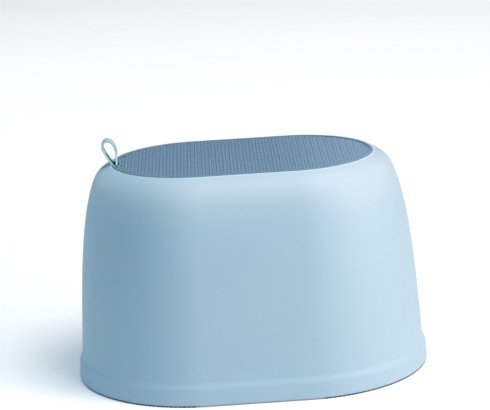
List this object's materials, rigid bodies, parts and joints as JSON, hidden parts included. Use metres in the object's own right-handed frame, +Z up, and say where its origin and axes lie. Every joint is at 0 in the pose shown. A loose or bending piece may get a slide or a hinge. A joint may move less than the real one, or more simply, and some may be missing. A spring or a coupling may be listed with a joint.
{
  "type": "shower stool",
  "caption": "Low oval bath stool: a hollow moulded shell with a flared foot band, a ribbed soft grip mat set in the seat, and a hanging strap at one end.",
  "frame": {"origin": "centre of the stool's outline on the floor, under the foot pads", "axes": "+Z up, +X along the long side of the seat with the hanging strap at the -X end, -Y is the front"},
  "size_m": [0.33, 0.24, 0.2257],
  "materials": {
    "shell": "fine satin moulded plastic",
    "mat": "moulded soft rubber with a woven relief",
    "strap": "smooth soft band",
    "toggle": "plain moulded plastic",
    "pad": "soft rubber with a fine tread"
  },
  "bodies": {
    "stool": {"body_shell": "shell", "seat_mat": "mat", "strap_tail": "strap", "strap_toggle": "toggle", "foot_pad_front_left": "pad", "foot_pad_front_right": "pad", "foot_pad_rear_left": "pad", "foot_pad_rear_right": "pad"},
    "loop": {"hang_loop": "strap"}
  },
  "joints": [
    {"name": "strap_bend", "type": "hinge", "parent": "stool", "child": "loop", "pos_m": [-0.1174, 0, 0.204], "axis": [0, 1, 0], "range_deg": [-40, 60], "stiffness_Nm_per_rad": 0.005}
  ]
}
